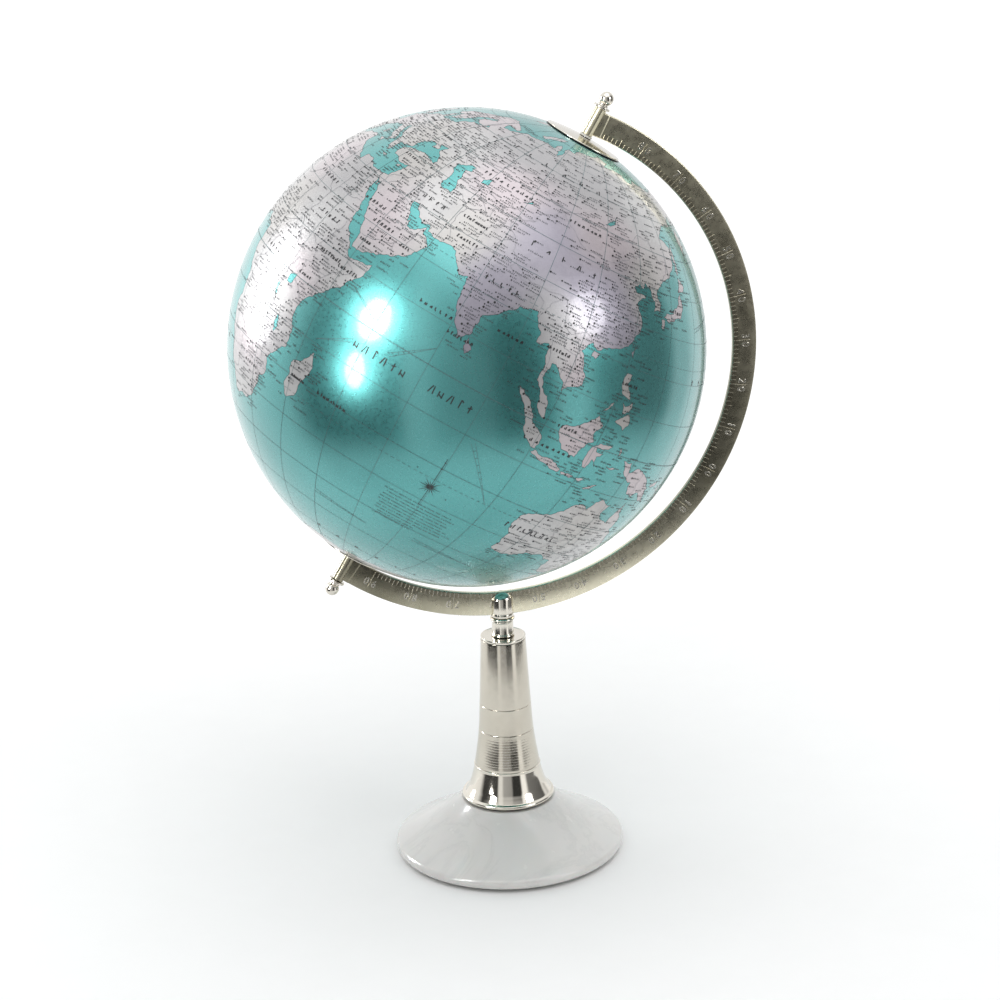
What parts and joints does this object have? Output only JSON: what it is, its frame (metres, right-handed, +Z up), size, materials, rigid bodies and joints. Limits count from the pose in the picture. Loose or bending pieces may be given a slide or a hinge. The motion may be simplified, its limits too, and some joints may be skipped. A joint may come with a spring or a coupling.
{
  "type": "desktop globe on stand",
  "caption": "Tilted terrestrial globe that spins on an axle in a C-shaped graduated metal arm, held by a fork on a flared metal column and a round stone base.",
  "frame": {"origin": "centre of the flat underside of the base pad, on the column's axis", "axes": "+Z up along the column, +X in the arm's plane towards the side that the arm bows out to and the north pole leans to, +Y away from the front"},
  "size_m": [0.2852, 0.254, 0.4245],
  "materials": {
    "map_print": "varnished metallic print, turquoise sea and silver-white land",
    "satin_nickel": "satin nickel plate",
    "polished_nickel": "polished nickel plate",
    "steel": "plain zinc-plated steel",
    "stone": "polished white marble",
    "felt": "felt",
    "gasket": "matt",
    "board": "plain board",
    "nylon": "natural nylon"
  },
  "bodies": {
    "stand": {"base_pad": "felt", "base_disc": "stone", "tie_washer": "steel", "lock_washer": "steel", "tie_nut": "steel", "tie_rod": "steel", "foot_gasket": "gasket", "column_foot": "polished_nickel", "column_body": "satin_nickel", "column_cap": "polished_nickel", "neck_sleeve": "polished_nickel", "trim_ring": "polished_nickel", "arm_fork": "polished_nickel", "fork_set_screw": "steel", "meridian_arm": "satin_nickel", "axle_rod": "steel", "north_collar": "polished_nickel", "south_collar": "polished_nickel", "north_finial": "polished_nickel", "south_finial": "polished_nickel", "north_spacer": "nylon", "south_spacer": "nylon"},
    "globe": {"north_shell": "map_print", "south_shell": "map_print", "equator_band": "board", "north_bush": "nylon", "south_bush": "nylon", "north_polar_cap": "polished_nickel", "south_polar_cap": "polished_nickel"}
  },
  "joints": [
    {"name": "globe_spin", "type": "hinge", "parent": "stand", "child": "globe", "pos_m": [-0.01407, 0, 0.29222], "axis": [0.5225, 0, 0.8526], "continuous": true}
  ]
}
